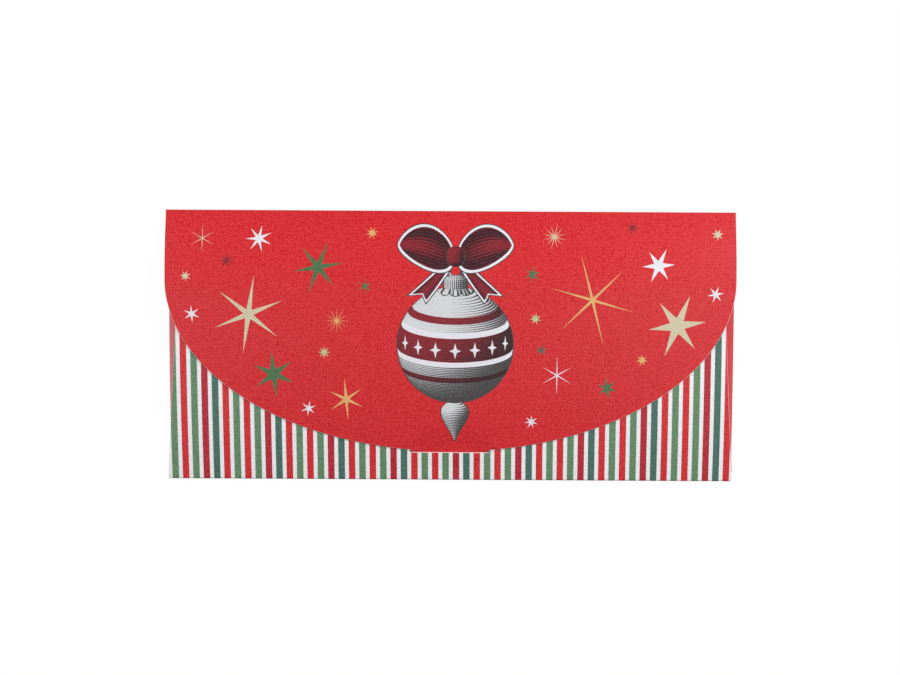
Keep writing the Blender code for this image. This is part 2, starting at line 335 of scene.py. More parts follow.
# Pocket front with the bottom fold: the striped part of the sheet, which turns up round the bottom
# fold and bows away from the back to the pocket's mouth. Its sides and mouth are cut, and the two
# lips of a slit near the bottom part a little round the flap's tongue.
MOUTH_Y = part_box("pocket_front")[1].y
MOUTH_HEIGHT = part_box("pocket_front")[1].z
FRONT_BOW = 1.1 * MM
MOUTH_LEFT = 86.7 * MM
MOUTH_RIGHT = 87.22 * MM
RIGHT_HOLLOW = 1.02 * MM
SLIT_LOW_Y = low_corner.y + 9.1 * MM
SLIT_HIGH_Y = SLIT_LOW_Y + 0.8 * MM
SLIT_HALF = 12.7 * MM
LIP_BEVEL = 0.13 * MM
LIP_CORE_HALF = 20.0 * MM
ROW_CROWDING = 1.4
LIP_FADE_START = 9.0 * MM
LOWER_LIP_RISE = 0.35 * MM
UPPER_LIP_DROP = 0.4 * MM
LOWER_LIP_REACH = 5.0 * MM
UPPER_LIP_REACH = 8.0 * MM
STRIPE_COUNT = 54
STRIPE_PITCH = 3.338 * MM
STRIPE_WIDTH = 2.1 * MM
STRIPE_SOFTNESS = 0.05 * MM
STRIPES_MIDDLE = 0.165 * MM
STRIPE_LEAN = 0.0067
MOTTLE_SIZE = 0.5 * MM
MOTTLE = 0.55
FRESH_GREEN = (0.118, 0.242, 0.124)
DEEP_GREEN = (0.054, 0.150, 0.113)
STRIPE_RED = (0.63, 0.013, 0.018)
CRIMSON = (0.45, 0.008, 0.024)
STRIPE_ORDER = [FRESH_GREEN, STRIPE_RED, FRESH_GREEN, CRIMSON, DEEP_GREEN, STRIPE_RED]
STRIPE_GROUND = (0.87, 0.87, 0.885)


def front_bow(y):
    """Height of the front's outer face: a straight rise from the fold and a parabola on top."""
    share = (y - BOTTOM_FOLD_Y) / (MOUTH_Y - BOTTOM_FOLD_Y)
    return 2 * FOLD_RADIUS * (1 - share) + MOUTH_HEIGHT * share + 4 * FRONT_BOW * share * (1 - share)


def lip_parting(x):
    """1 along the slit, falling to 0 at its ends."""
    return 1 - smooth((np.abs(x) - LIP_FADE_START) / (SLIT_HALF - LIP_FADE_START))


def upper_press(x, y):
    """How far the card above the slit is pressed down, fading up the front."""
    return UPPER_LIP_DROP * lip_parting(x) * (1 - smooth((y - SLIT_HIGH_Y) / UPPER_LIP_REACH))


def lower_lift(x, y):
    """How far the card below the slit is lifted, fading down the front."""
    return LOWER_LIP_RISE * lip_parting(x) * (1 - smooth((SLIT_LOW_Y - y) / LOWER_LIP_REACH))


def front_height(x, y):
    """The bowed front, pressed down above the slit and lifted below it."""
    across = smooth((y - SLIT_LOW_Y) / (SLIT_HIGH_Y - SLIT_LOW_Y))
    return front_bow(y) + lower_lift(x, y) * (1 - across) - upper_press(x, y) * across


def front_edge(y, side):
    """X of the front's cut edge from the fold to the mouth: a straight line on the left, and on the
    right one that a parabola hollows a little."""
    share = (y - BOTTOM_FOLD_Y) / (MOUTH_Y - BOTTOM_FOLD_Y)
    if side < 0:
        return -FRONT_HALF - (MOUTH_LEFT - FRONT_HALF) * share
    straight = FRONT_HALF + RIGHT_REACH + (MOUTH_RIGHT - FRONT_HALF - RIGHT_REACH) * share
    return straight - RIGHT_HOLLOW * share * (1 - share)


def stripes(tree, place):
    """Upright stripes that lean a little: white ground, and every pitch one stripe of a cycle of six.

    The stripes' ink lies unevenly on the emboss, so a noise makes it darker and lighter.
    """
    first = STRIPES_MIDDLE - STRIPE_PITCH * STRIPE_COUNT / 2
    x, y, _ = add_node(tree, "ShaderNodeSeparateXYZ", {0: place}).outputs
    leaning = calculate(tree, "MULTIPLY_ADD", y, STRIPE_LEAN, x)
    turns = calculate(tree, "DIVIDE", calculate(tree, "SUBTRACT", leaning, first), STRIPE_PITCH)
    number = calculate(tree, "FLOOR", turns)
    from_middle = calculate(tree, "SUBTRACT", calculate(tree, "FRACT", turns), 0.5)
    offset = calculate(tree, "ABSOLUTE", from_middle)
    edge = 0.5 * STRIPE_WIDTH / STRIPE_PITCH
    soft = STRIPE_SOFTNESS / STRIPE_PITCH
    inked = add_node(tree, "ShaderNodeMapRange", {
        "Value": offset, "From Min": edge - soft, "From Max": edge + soft, "To Min": 1.0, "To Max": 0.0,
    })
    count = len(STRIPE_ORDER)
    turn = calculate(tree, "FLOORED_MODULO", number, count)
    along_ramp = calculate(tree, "DIVIDE", calculate(tree, "ADD", turn, 0.5), count)
    ramp = add_node(tree, "ShaderNodeValToRGB", {0: along_ramp})
    ramp.color_ramp.interpolation = "CONSTANT"
    while len(ramp.color_ramp.elements) < count:
        ramp.color_ramp.elements.new(1)
    for i, colour in enumerate(STRIPE_ORDER):
        ramp.color_ramp.elements[i].position = i / count
        ramp.color_ramp.elements[i].color = (*colour, 1)
    mottle = {"Vector": place, "Scale": 1 / MOTTLE_SIZE, "Detail": 2}
    mottle = add_node(tree, "ShaderNodeTexNoise", mottle).outputs[0]
    depth = calculate(tree, "MULTIPLY_ADD", mottle, 2 * MOTTLE, 1 - MOTTLE)
    ink = add_node(tree, "ShaderNodeVectorMath", {0: ramp.outputs[0], "Scale": depth}, operation="SCALE")
    return between(tree, inked.outputs[0], STRIPE_GROUND, ink.outputs[0])


striped_print = linen_print("striped linen print", stripes, strength=0.95)
striped_card = [striped_print, white_inside, cut_core]


def fold_round(centre_y, start, end, left, right, steps=10):
    """Grid round a fold from left to right: y = centre + R cos a and z = R + R sin a, with the
    normals along the radius. The columns run so that the faces point outwards."""
    turn = np.radians(spread(start, end, steps))[:, None]
    x = (spread(left, right, 40) if start > end else spread(right, left, 40))[None, :]
    x, turn = np.broadcast_arrays(x, turn)
    normals = np.stack([np.zeros_like(turn), np.cos(turn), np.sin(turn)], -1)
    points = normals * FOLD_RADIUS + np.array([0, centre_y, FOLD_RADIUS])
    points[..., 0] = x
    return points, normals


points, normals = fold_round(BOTTOM_FOLD_Y, 270, 90, -FRONT_HALF, FRONT_HALF + RIGHT_REACH)
fold = make_piece("bottom_fold_card", [shell_faces(points, normals, CARD)], striped_card, "wallet")
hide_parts("bottom_fold")

slit_x = np.concatenate([
    spread(0, LIP_FADE_START, 6), spread(LIP_FADE_START, SLIT_HALF, 8)[1:],
    spread(SLIT_HALF + CUT_BEVEL, LIP_CORE_HALF, 5),
])
outward = spread(0, 1, 46)[1:]
core_x = np.concatenate([slit_x, np.full(len(outward) + 1, LIP_CORE_HALF)])
past_core = np.concatenate([np.zeros(len(slit_x)), outward, [1]])
inset = np.zeros(len(core_x))
inset[-2] = CUT_BEVEL
above_slit = SLIT_HIGH_Y + CUT_BEVEL
front_y = np.concatenate([
    spread(BOTTOM_FOLD_Y, SLIT_LOW_Y - LIP_BEVEL, 10), spread(SLIT_LOW_Y, SLIT_HIGH_Y, 2),
    above_slit + (MOUTH_Y - CUT_BEVEL - above_slit) * spread(0, 1, 50) ** ROW_CROWDING,
    [MOUTH_Y],
])


def front_columns(side):
    """X of one side's columns: fixed round the slit, then spread to the edge."""
    past = side * front_edge(front_y, side)[:, None] - LIP_CORE_HALF
    return side * (core_x + past_core * past - inset)


left, right = front_columns(-1), front_columns(1)
front_x = np.concatenate([left[:, :0:-1], right], axis=1)
front_y = np.broadcast_to(front_y[:, None], front_x.shape)
in_slit = (front_y >= SLIT_LOW_Y) & (front_y <= SLIT_HIGH_Y)
in_slit &= np.abs(front_x) <= SLIT_HALF + CUT_BEVEL / 2
cut = in_slit.copy()
cut[:, [0, -1]] = True
cut[-1] = True
keep = ~(in_slit[:-1, :-1] & in_slit[1:, 1:] & in_slit[:-1, 1:] & in_slit[1:, :-1])
points, normals = raised(front_x, front_y, front_height)
shell = shell_faces(points, normals, CARD, cut, keep)
front = make_piece("pocket_front_card", [shell], striped_card, "wallet")
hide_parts("pocket_front")

# Side folds: red strips of the same sheet that turn up from the back, lean in to the pocket front's
# edge and turn in again under it. Their ends are cut, and the right one's print catches less light.
TAB_SHOW = 0.3 * MM
LEFT_TUCK = 0.35 * MM
TOP_TURN = 0.3 * MM
TAB_DROP = 0.3 * MM
TOUCH_LIMIT = 0.98
WALL_TILT = math.radians(75)
WALL_INK = (0.64, 0.005, 0.011)
WALL_GLOSS = {"left": 0.46, "right": 0.12}


def tab_height(y):
    """Outer face of the glue tabs: under the pocket front and the line of glue."""
    return front_bow(y) - CARD - TAB_DROP


def turn_edge(y, side):
    """X of the turn's middle at the top of a side fold, which shows beside the pocket front; the
    left one goes further under the front towards its low end."""
    low = np.clip((side_high.y - y) / (side_high.y - side_low.y), 0, 1)
    tuck = LEFT_TUCK * low**2 if side < 0 else 0
    return front_edge(y, side) + side * (TAB_SHOW - TOP_TURN) + tuck


def side_section(y, side):
    """Section of a side fold at each y: (x, z) and normals, from the back to the glue tab.

    It runs flat, round a foot of radius R, up the straight line that touches both rounds, and round
    a top turn of radius r. The touching line leaves both rounds at one angle, for which
    cos(angle - slant) = (R - r) / distance of the centres. X counts outwards from the middle.
    """
    top = tab_height(y)
    foot = np.minimum(FOLD_RADIUS, top / 2)
    edge = side * side_edge(y, side)
    foot_x, foot_z = edge - foot, foot
    turn_x, turn_z = side * turn_edge(y, side), top - TOP_TURN
    apart = np.hypot(turn_x - foot_x, turn_z - foot_z)
    slant = np.arctan2(turn_z - foot_z, turn_x - foot_x)
    touch = slant - np.arccos(np.minimum((foot - TOP_TURN) / apart, TOUCH_LIMIT))
    around_foot = -np.pi / 2 + (touch + np.pi / 2) * spread(0, 1, 8)[:, None]
    around_top = touch + (np.pi / 2 - touch) * spread(0, 1, 6)[:, None]
    flat = np.full((1, len(y)), -np.pi / 2)
    turn = np.concatenate([flat, around_foot, around_top])
    x = np.concatenate([
        edge[None] - FOLD_RADIUS, foot_x + foot * np.cos(around_foot),
        turn_x + TOP_TURN * np.cos(around_top),
    ])
    z = np.concatenate([
        np.zeros((1, len(y))), foot_z + foot * np.sin(around_foot),
        turn_z + TOP_TURN * np.sin(around_top),
    ])
    return x, z, np.cos(turn), np.sin(turn)


fold_y = np.concatenate([
    [side_low.y], spread(side_low.y + CUT_BEVEL, side_high.y - CUT_BEVEL, 40), [side_high.y]
])
for word, side in (("left", -1), ("right", 1)):
    x, z, normal_x, normal_z = side_section(fold_y, side)
    y = np.broadcast_to(fold_y, x.shape)
    points = np.stack([side * x, y, z], -1)[::side]
    normals = np.stack([side * normal_x, np.zeros_like(x), normal_z], -1)[::side]
    cut = np.zeros(x.shape, bool)
    cut[:, [0, -1]] = True
    shell = shell_faces(points, normals, CARD, cut)
    ink = linen_print(
        f"red linen print on the {word} side fold", WALL_INK, gloss=WALL_GLOSS[word], tilt=WALL_TILT
    )
    strip = make_piece(f"{word}_side_fold_card", [shell], [ink, white_inside, cut_core], "wallet")
    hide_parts(f"{word}_side_fold")

# Glue tabs: the ends of the side folds, which lie under the pocket front's edges and carry it. The
# free edge slants at both ends so that it slips in easily.
TAB_WIDTH = 11.0 * MM
TAB_CHAMFER = 5.0 * MM
TAB_SLIVER = 0.002
tab_inner_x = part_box("right_glue_tab")[0].x

share_in = np.concatenate([spread(0, 1, 8)[:-1], [1 - CUT_BEVEL / TAB_WIDTH, 1]])
share_up = np.concatenate([[0], spread(TAB_SLIVER, 1 - TAB_SLIVER, 30), [1]])[:, None]
tab_low = side_low.y + TAB_CHAMFER * share_in
tab_high = side_high.y - TAB_CHAMFER * share_in
tab_y = tab_low + (tab_high - tab_low) * share_up
cut = np.zeros(tab_y.shape, bool)
cut[[0, -1]] = True
cut[:, -1] = True
for word, side in (("left", -1), ("right", 1)):
    tab_root = side * turn_edge(tab_y, side)
    tab_x = tab_root + (tab_inner_x - tab_root) * share_in
    points, normals = raised(side * tab_x, tab_y, lambda x, y: tab_height(y))
    turned = slice(None, None, -side)
    shell = shell_faces(points[:, turned], normals[:, turned], CARD, cut[:, turned])
    tab = make_piece(f"{word}_glue_tab_card", [shell], red_card, "wallet")
    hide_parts(f"{word}_glue_tab")

# Glue: one line of clear-drying white glue between each tab and the pocket front. It is the part's
# own solid with a finish of its own.
GLUE_COLOUR = (0.85, 0.83, 0.74)
GLUE_CLOUDED = (0.7, 0.68, 0.58)
GLUE_ROUGHNESS = 0.35
CLOUD_SIZE = 2.0 * MM

glue, tree = new_tree("dried glue")
cloud = {"Vector": object_place(tree), "Scale": 1 / CLOUD_SIZE, "Detail": 3}
cloud = add_node(tree, "ShaderNodeTexNoise", cloud).outputs[0]
shader = tree.nodes["Principled BSDF"]
tree.links.new(between(tree, cloud, GLUE_COLOUR, GLUE_CLOUDED), shader.inputs["Base Color"])
shader.inputs["Roughness"].default_value = GLUE_ROUGHNESS
for word in ("left", "right"):
    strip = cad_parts[f"{word}_glue_strip"]
    strip.data.materials.clear()
    strip.data.materials.append(glue)

# Top crease: the fold on which the flap turns. It is a piece that hangs under neither the wallet nor
# the flap.
points, normals = fold_round(TOP_CREASE_Y, -90, 90, -CREASE_HALF, CREASE_HALF, steps=16)
crease = make_piece("top_crease_card", [shell_faces(points, normals, CARD)], red_card, None)
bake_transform(crease)
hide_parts("top_crease")

# Flap: the round red end of the sheet. It comes down from the crease over the pocket's mouth and
# lies on the striped front; its straight sides run into half an ellipse, all cut.
SHOULDER_Y = high_corner.y - 21.5 * MM
SHOULDER_HALF = 90.66 * MM
ARC_POWER = 2.016
FLAP_LOW_Y = SLIT_LOW_Y + 0.33 * MM
CREST_Y = MOUTH_Y + 1.0 * MM
FLAP_GAP = 0.15 * MM
PRESSED_GAP = 0.02 * MM
FLAP_FALL_POWER = 1.6
CORNER_SPAN = 1.0 * MM
TONGUE_HALF = 12.5 * MM
ROOT_FILLET = 1.5 * MM


def flap_height(x, y):
    """Outer face of the flap: the pocket front's bow, level over the mouth, then down to the crease
    by a power of the way. Above the slit the front's press and a closer gap lower it."""
    crest = MOUTH_HEIGHT + CARD + FLAP_GAP
    down = np.clip((y - CREST_Y) / (TOP_CREASE_Y - CREST_Y), 0, 1) ** FLAP_FALL_POWER
    beyond = crest + (2 * FOLD_RADIUS - crest) * down
    closer = (FLAP_GAP - PRESSED_GAP) / UPPER_LIP_DROP * upper_press(x, y)
    over_front = front_bow(y) + CARD + FLAP_GAP - upper_press(x, y) - closer
    return np.where(y < MOUTH_Y, over_front, beyond)


def arc_y(x):
    """The flap's lower edge between the shoulders: an ellipse, but for a power a little over 2."""
    across = np.clip(1 - (np.abs(x) / SHOULDER_HALF) ** ARC_POWER, 0, 1)
    return SHOULDER_Y - (SHOULDER_Y - FLAP_LOW_Y) * across ** (1 / ARC_POWER)


def flap_grid():
    """Grid from the cut outline in to the crease line.

    Columns start along the outline, which goes down the left side, round the ellipse and up the
    right side, and they end evenly spread along the crease. The second row lies the bevel inside.
    """
    side_y = spread(TOP_CREASE_Y, SHOULDER_Y, 12)[:-1]
    down = (TOP_CREASE_Y - side_y) / (TOP_CREASE_Y - SHOULDER_Y)
    side_x = CREASE_HALF + (SHOULDER_HALF - CREASE_HALF) * down
    turn = np.radians(spread(-90, 90, 180))
    arc_x = SHOULDER_HALF * np.sin(turn)
    edge_x = np.concatenate([-side_x, arc_x, side_x[::-1]])
    edge_y = np.concatenate([side_y, arc_y(arc_x), side_y[::-1]])
    run_x, run_y = np.gradient(edge_x), np.gradient(edge_y)
    run = np.hypot(run_x, run_y)
    inset_x, inset_y = edge_x - CUT_BEVEL * run_y / run, edge_y + CUT_BEVEL * run_x / run
    inset_y[[0, -1]] = TOP_CREASE_Y
    travelled = np.cumsum(run)
    travelled = (travelled - travelled[0]) / (travelled[-1] - travelled[0])
    crease_x = (CREASE_HALF - CORNER_SPAN) * (2 * travelled - 1)
    share = spread(0, 1, 56)[:, None]
    x = np.concatenate([edge_x[None], inset_x + (crease_x - inset_x) * share])
    y = np.concatenate([edge_y[None], inset_y + (TOP_CREASE_Y - inset_y) * share])
    return x, y


flap_x, flap_y = flap_grid()
points, normals = raised(flap_x, flap_y, flap_height)
cut = np.zeros(flap_x.shape, bool)
cut[0] = (np.abs(flap_x[0]) > TONGUE_HALF + ROOT_FILLET) | (flap_y[0] > SHOULDER_Y)
flap = make_piece("flap_panel_card", [shell_faces(points, normals, CARD, cut)], red_card, "flap")
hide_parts("flap_panel")

# Closing tongue: the tab below the flap's arc. It dives through the slit and lies behind the
# striped front, and its narrower tip has rounded corners.
TONGUE_TIP_HALF = 10.0 * MM
TONGUE_CORNER = 2.5 * MM
TUCK_CLEARANCE = 0.02 * MM
TONGUE_SLIVER = 0.01
tongue_tip_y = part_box("closing_tongue")[0].y
tuck_y = SLIT_LOW_Y + TUCK_CLEARANCE


def tongue_height(x, y):
    """From the flap's surface at the arc, down an S-curve through the slit, to under the front."""
    above, root = arc_y(x), flap_height(x, y)
    dive = smooth((above - y) / (above - tuck_y))
    under = front_bow(y) + lower_lift(x, y) - CARD - PRESSED_GAP
    return np.where(y < tuck_y, under, root + (under - root) * dive)


def tongue_half_width(y):
    """Full width to the slit, then a taper to the tip, whose corners are quarter rounds."""
    taper = np.clip((tuck_y - y) / (tuck_y - tongue_tip_y - TONGUE_CORNER), 0, 1)
    width = TONGUE_HALF + (TONGUE_TIP_HALF - TONGUE_HALF) * taper
    above_corner = np.clip(tongue_tip_y + TONGUE_CORNER - y, 0, TONGUE_CORNER)
    return width - TONGUE_CORNER + np.sqrt(TONGUE_CORNER**2 - above_corner**2)


across = np.concatenate([[-1], spread(TONGUE_SLIVER - 1, 1 - TONGUE_SLIVER, 30), [1]])
corner = tongue_tip_y + TONGUE_CORNER * (1 - np.cos(np.radians(spread(0, 90, 8))))
below = np.concatenate([
    corner[:1], corner[:1] + CUT_BEVEL, corner[2:], spread(corner[-1], tuck_y, 8)[1:]
])
x_below = tongue_half_width(below)[:, None] * across
y_below = np.broadcast_to(below[:, None], x_below.shape)
share = spread(0, 1, 8)[1:, None]
x_dive = np.broadcast_to(TONGUE_HALF * across, (len(share), len(across)))
y_dive = tuck_y + (arc_y(TONGUE_HALF * across) - tuck_y) * share
tongue_x, tongue_y = np.concatenate([x_below, x_dive]), np.concatenate([y_below, y_dive])
cut = np.zeros(tongue_x.shape, bool)
cut[0] = True
cut[:, [0, -1]] = True
points, normals = raised(tongue_x, tongue_y, tongue_height)
shell = shell_faces(points, normals, CARD, cut)
tongue = make_piece("closing_tongue_card", [shell], red_card, "flap")
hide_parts("closing_tongue")

# Stars: printed on the flap in flat gold, green, white and maroon inks, as thin films of ink over the
# linen. They are strewn over both sides of the flap; most have six rays.
INK_FILM = 0.03 * MM
INK_RISE = 0.015 * MM
PALE_GOLD = (0.625, 0.545, 0.37)
WARM_GOLD = (0.73, 0.412, 0.145)
LIGHT_GREEN = (0.46, 0.55, 0.26)
STAR_GREEN = (0.062, 0.157, 0.060)
STAR_WHITE = (0.78, 0.77, 0.82)
MAROON = (0.25, 0.010, 0.018)
SLATE_GREEN = (0.12, 0.105, 0.08)
BROAD, SLIM, LINE = 0.24, 0.13, 0.05
STAR_STEP = 1.5 * MM
FILM_EMBOSS = 0.8


def ink_shell(x, y, rise=INK_RISE, wrap=False):
    """A film of ink on the flap, over a grid of places."""
    points, normals = raised(x, y, flap_height)
    return shell_faces(points + normals * rise, normals, INK_FILM, wrap=wrap)


def star(x, y, reach, degrees, rays, waist, shorter, rise=INK_RISE, squeeze=1.0):
    """Ink in the shape of a star, in rings round its middle, its straight edges cut in short steps.

    The tips lie at the reach, or nearer by the shorter share but for the pair on the star's axis,
    and the corners between them at the waist's share of the reach.
    """
    corner = np.arange(2 * rays + 1)
    angle = math.radians(degrees) - np.pi / rays * corner
    tip = np.where(corner % rays == 0, 1, 1 - shorter)
    distance = reach * np.where(corner % 2 == 0, tip, waist)
    steps = max(1, round(reach / STAR_STEP))
    along = spread(0, 2 * rays, 2 * rays * steps)
    rim_x = np.interp(along, corner, distance * np.cos(angle))
    rim_y = np.interp(along, corner, distance * np.sin(angle))
    rings = spread(0, 1, steps + 1)[:, None]
    return ink_shell(x + squeeze * rings * rim_x, y + rings * rim_y, rise, wrap=True)


def star_print(name, ink, stars):
    """All the stars of one ink, each as (x, y, reach, degrees, rays, waist, shorter), the first
    three in mm."""
    shells = [star(x * MM, y * MM, reach * MM, *rest) for x, y, reach, *rest in stars]
    film = linen_print(name, ink, strength=FILM_EMBOSS)
    make_piece(name, shells, [film] * 3, "flap")


star_print("pale_gold_stars", PALE_GOLD, [
    (-64, 10, 12.6, 82, 6, SLIM, 0.08), (72, 7, 10.4, 68, 6, BROAD, 0.12),
    (-79, 34, 4.8, 90, 6, LINE, 0.1), (33, 35, 4.7, 75, 12, 0.11, 0.2),
    (-84, 22, 1.7, 20, 7, 0.4, 0), (85, 36, 1.9, 10, 7, 0.4, 0),
])
star_print("light_green_stars", LIGHT_GREEN, [
    (-40, -2, 2.0, 0, 8, 0.34, 0), (27, 9, 1.8, 30, 7, 0.4, 0),
])
star_print("warm_gold_stars", WARM_GOLD, [
    (45, 15, 15.2, 104, 6, 0.055, 0.1), (-33, -17, 6.6, 95, 6, 0.15, 0.1),
    (-36, 8, 4.8, 60, 12, 0.09, 0.15), (-25, 36, 2.0, 15, 8, 0.34, 0),
    (61, -4, 1.8, 40, 7, 0.4, 0),
])
star_print("green_stars", STAR_GREEN, [
    (-42, 25, 8.9, 70, 6, 0.18, 0.1), (-56, -9, 7.6, 96, 6, BROAD, 0.08),
    (26, 23, 2.7, 80, 6, 0.3, 0), (50, -13, 3.6, 100, 6, 0.3, 0.1),
    (-27, 19, 2.6, 85, 6, 0.22, 0),
])
star_print("white_stars", STAR_WHITE, [
    (-61, 34, 4.3, 78, 7, 0.26, 0), (66, 26, 5.8, 64, 6, 0.27, 0.1),
    (34, -9, 6.4, 90, 6, 0.06, 0.15), (-82, 10, 2.7, 95, 6, 0.27, 0),
    (-45, -20, 2.5, 80, 6, 0.27, 0), (84, 17, 2.7, 70, 6, 0.28, 0),
    (26, -24, 2.2, 85, 7, 0.3, 0),
])
star_print("maroon_stars", MAROON, [
    (-71, 27, 2.8, 84, 7, 0.26, 0.1), (58, 38, 2.7, 96, 7, 0.24, 0.1),
])
star_print("slate_green_stars", SLATE_GREEN, [(29, -1, 2.0, 75, 6, 0.34, 0)])

# Bauble: a printed glass ball with a cap, a hanging ring above and a drop below, in the grey
# hatching of an old engraving. It takes the middle of the flap, as films of ink over the red print.
BAUBLE_X = 1.6 * MM
BALL_Y = 0.5 * MM
BALL_RADIUS = 18.6 * MM
BALL_LOW, BALL_HIGH = BALL_Y - BALL_RADIUS, BALL_Y + BALL_RADIUS
BALL_END = 0.01 * MM
DROP_REACH = 12.4 * MM
DROP_LENGTH = 13.5 * MM
DROP_OVERLAP = 1.0 * MM
DROP_HALF = 4.4 * MM
DROP_RIM = 0.25 * MM
DROP_SWELL, DROP_POINT = 0.55, 1.3
CAP_HALF = 3.7 * MM
CAP_HEIGHT = 3.6 * MM
CAP_OVERLAP = 1.2 * MM
CAP_RIM = 0.3 * MM
CAP_ROUNDING = 5
CAP_SHADE = 0.62
SKIRT_FLARE = 1.5 * MM
SKIRT_OVERLAP = 0.2 * MM
SKIRT_DEPTH = 1.3 * MM
SKIRT_SAG = 0.9 * MM
SKIRT_LINES = 10
SKIRT_DARK, SKIRT_LIGHT = 0.16, 0.8
SKIRT_MIDDLE_LIGHT, SKIRT_LIGHT_FALL = 0.75, 0.55
SCALLOPS = 4
SCALLOP_DEPTH = 0.9 * MM
WIRE_RADIUS = 2.1 * MM
WIRE_HALF = 0.55 * MM
WIRE_RISE = 1.5 * MM
WIRE_TONE, WIRE_LIGHT = 0.5, 0.4
HATCH_PITCH = 0.62 * MM
HATCH_SAG = 0.28
HATCH_SOFTNESS = 0.06
CROSS_GAIN = 1.9
OUTLINE_WIDTH = 0.3 * MM
LIGHT = np.array([-0.5, 0.55, 0.67])
LIGHT_WRAP = 0.34
DEEPEST_TONE, TONE_SPAN, TONE_POWER = 0.06, 1.12, 2.1
THINNEST_HALF = 0.01 * MM
WIDTH_STEP = 0.05 * MM
INK_GREY = (0.050, 0.047, 0.046)
PAPER_GREY = (0.66, 0.67, 0.69)
ENGRAVING_EMBOSS = 0.5
ENGRAVING_MARKS = ("tone", "line", "cross", "edge", "border")


def hatched(name, ink, paper):
    """Engraved tone: lines of ink by the mark line, the narrower the lighter the mark tone is, and a
    second set by the mark cross, which shows only where it is darkest.

    Nearer to the rim than the mark border it is white, and a line of ink runs round the rim. The
    mark edge is the distance to the rim in mm.
    """

    def engraving(tree, place):
        mark = {
            word: add_node(tree, "ShaderNodeAttribute", {}, attribute_name=word).outputs["Fac"]
            for word in ENGRAVING_MARKS
        }
        inks = []
        for lines, gain in (("line", 1.0), ("cross", CROSS_GAIN)):
            saw = calculate(tree, "PINGPONG", mark[lines], 0.5)
            level = calculate(tree, "MULTIPLY", mark["tone"], 0.5 * gain)
            gap = calculate(tree, "SUBTRACT", saw, level)
            soft_edge = {"Value": gap, "From Min": -HATCH_SOFTNESS, "From Max": HATCH_SOFTNESS}
            inks.append(add_node(tree, "ShaderNodeMapRange", soft_edge).outputs[0])
        drawn = between(tree, calculate(tree, "MAXIMUM", *inks), paper, ink)
        border = calculate(tree, "LESS_THAN", mark["edge"], mark["border"])
        outline = calculate(tree, "LESS_THAN", mark["edge"], OUTLINE_WIDTH / MM)
        return between(tree, outline, between(tree, border, drawn, STAR_WHITE), INK_GREY)

    return linen_print(name, engraving, strength=ENGRAVING_EMBOSS)


def joins_up(x, y):
    """Whether a grid's last column lies on its first."""
    return bool(np.allclose(x[:, 0], x[:, -1]) and np.allclose(y[:, 0], y[:, -1]))


def engraved(name, drawings, material):
    """One piece of ink films; each drawing gives its grid, rise, and the marks on the grid."""
    shells = [ink_shell(x, y, rise, joins_up(x, y)) for x, y, rise, _ in drawings]
    marks = {}
    for word in ENGRAVING_MARKS:
        on_grids = [(values[word] + 0 * x).ravel() for x, _, _, values in drawings]
        marks[word] = np.concatenate([np.tile(outer, 2) for outer in on_grids])
    make_piece(name, shells, [material] * 3, "flap", marks)


def turned_form(width, low, high, rise, rows, sag=0.0, border=0.0, ridged=False, shade=1.0):
    """A form turned round the bauble's axis, drawn flat, with the tone of a ball in side light.

    Half the width is a function of y. A row runs from one edge to the other and sags in the middle
    by a share of its bulge. The normal follows from the place across and from the width's slope, and
    the tone is a power of its share towards the light. A ridged form is hatched along its axis.
    """
    y = spread(low, high, rows)[:, None]
    across = spread(-1, 1, 48)[None, :]
    x = across * width(y)
    y = y - sag * width(y) * np.sqrt(1 - across**2)
    half = np.maximum(width(y), THINNEST_HALF)
    slope = (width(y + WIDTH_STEP) - width(y - WIDTH_STEP)) / (2 * WIDTH_STEP)
    steep = slope / np.sqrt(1 + slope**2)
    around = np.sqrt(1 - steep**2)
    share = np.clip(x / half, -1, 1)
    front = np.sqrt(1 - share**2)
    lit = LIGHT[0] * share * around - LIGHT[1] * steep + LIGHT[2] * front * around
    wrapped = np.clip(LIGHT_WRAP + (1 - LIGHT_WRAP) * lit, 0, 1)
    around_axis = np.arcsin(share) * half.max() / HATCH_PITCH
    along_axis = (y + HATCH_SAG * front * half) / HATCH_PITCH
    marks = {
        "tone": shade * (DEEPEST_TONE + TONE_SPAN * wrapped**TONE_POWER),
        "line": around_axis if ridged else along_axis,
        "cross": along_axis if ridged else around_axis,
        "edge": (1 - np.abs(share)) * half / MM,
        "border": border / MM,
    }
    return BAUBLE_X + x, y, rise, marks


def ball_half(y):
    return np.sqrt(np.clip(BALL_RADIUS**2 - (y - BALL_Y) ** 2, 0, None))


def drop_half(y):
    """Half the drop's width: a tear that swells soon below the ball and runs out to a point."""
    down = (BALL_LOW + DROP_OVERLAP - y) / DROP_LENGTH
    return DROP_HALF * np.sin(np.pi * np.clip(down, 0, 1) ** DROP_SWELL) ** DROP_POINT + DROP_RIM


def cap_half(y):
    """Half the cap's width: straight walls that round in at the top."""
    up = np.clip((y - BALL_HIGH) / CAP_HEIGHT, 0, 1)
    return CAP_HALF * (1 - up**CAP_ROUNDING) ** 0.5 + CAP_RIM


